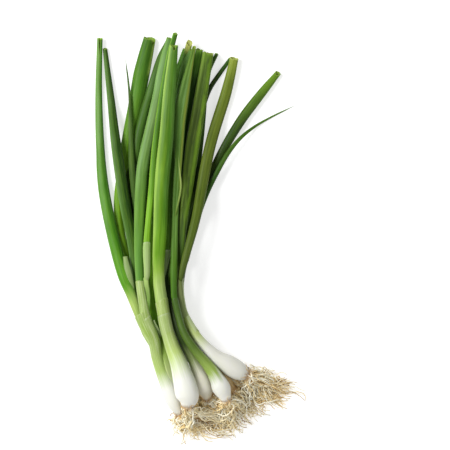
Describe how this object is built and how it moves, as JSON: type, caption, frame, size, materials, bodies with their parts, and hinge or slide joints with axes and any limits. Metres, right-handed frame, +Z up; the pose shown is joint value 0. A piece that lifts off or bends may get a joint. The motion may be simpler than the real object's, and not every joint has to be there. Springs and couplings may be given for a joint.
{
  "type": "spring onion bunch",
  "caption": "Bunch of young green onions lying on a surface, with slim white bulbs, hollow cut green leaves and tufts of straw-coloured roots.",
  "frame": {"origin": "middle of the bunch's box, on the surface that it lies on", "axes": "+Z up, +Y along the leaves towards their cut tips, roots towards -Y, +X to the right seen from above"},
  "size_m": [0.1584, 0.3272, 0.0366],
  "materials": {
    "shank": "satin, waxy white bulb running into pale yellow-green with fine lengthwise veins",
    "leaf": "satin, waxy green with fine lengthwise veins and a pale bloom",
    "root": "matt, dry straw colour"
  },
  "bodies": {
    "root": {"onion_1_bulb": "shank", "onion_1_leaf_a": "leaf", "onion_1_leaf_b": "leaf", "onion_1_leaf_c": "leaf", "onion_1_roots": "root", "onion_2_bulb": "shank", "onion_2_leaf_a": "leaf", "onion_2_leaf_b": "leaf", "onion_2_roots": "root", "onion_3_bulb": "shank", "onion_3_leaf_a": "leaf", "onion_3_leaf_b": "leaf", "onion_3_roots": "root", "onion_4_bulb": "shank", "onion_4_leaf_a": "leaf", "onion_4_leaf_b": "leaf", "onion_4_roots": "root", "onion_5_bulb": "shank", "onion_5_leaf_a": "leaf", "onion_5_leaf_b": "leaf", "onion_5_roots": "root", "onion_6_bulb": "shank", "onion_6_leaf_a": "leaf", "onion_6_leaf_b": "leaf", "onion_6_roots": "root", "onion_7_bulb": "shank", "onion_7_leaf_a": "leaf", "onion_7_leaf_b": "leaf", "onion_7_leaf_c": "leaf", "onion_7_roots": "root", "onion_8_bulb": "shank", "onion_8_leaf_a": "leaf", "onion_8_leaf_b": "leaf", "onion_8_leaf_c": "leaf", "onion_8_leaf_d": "leaf", "onion_8_roots": "root"}
  },
  "joints": []
}
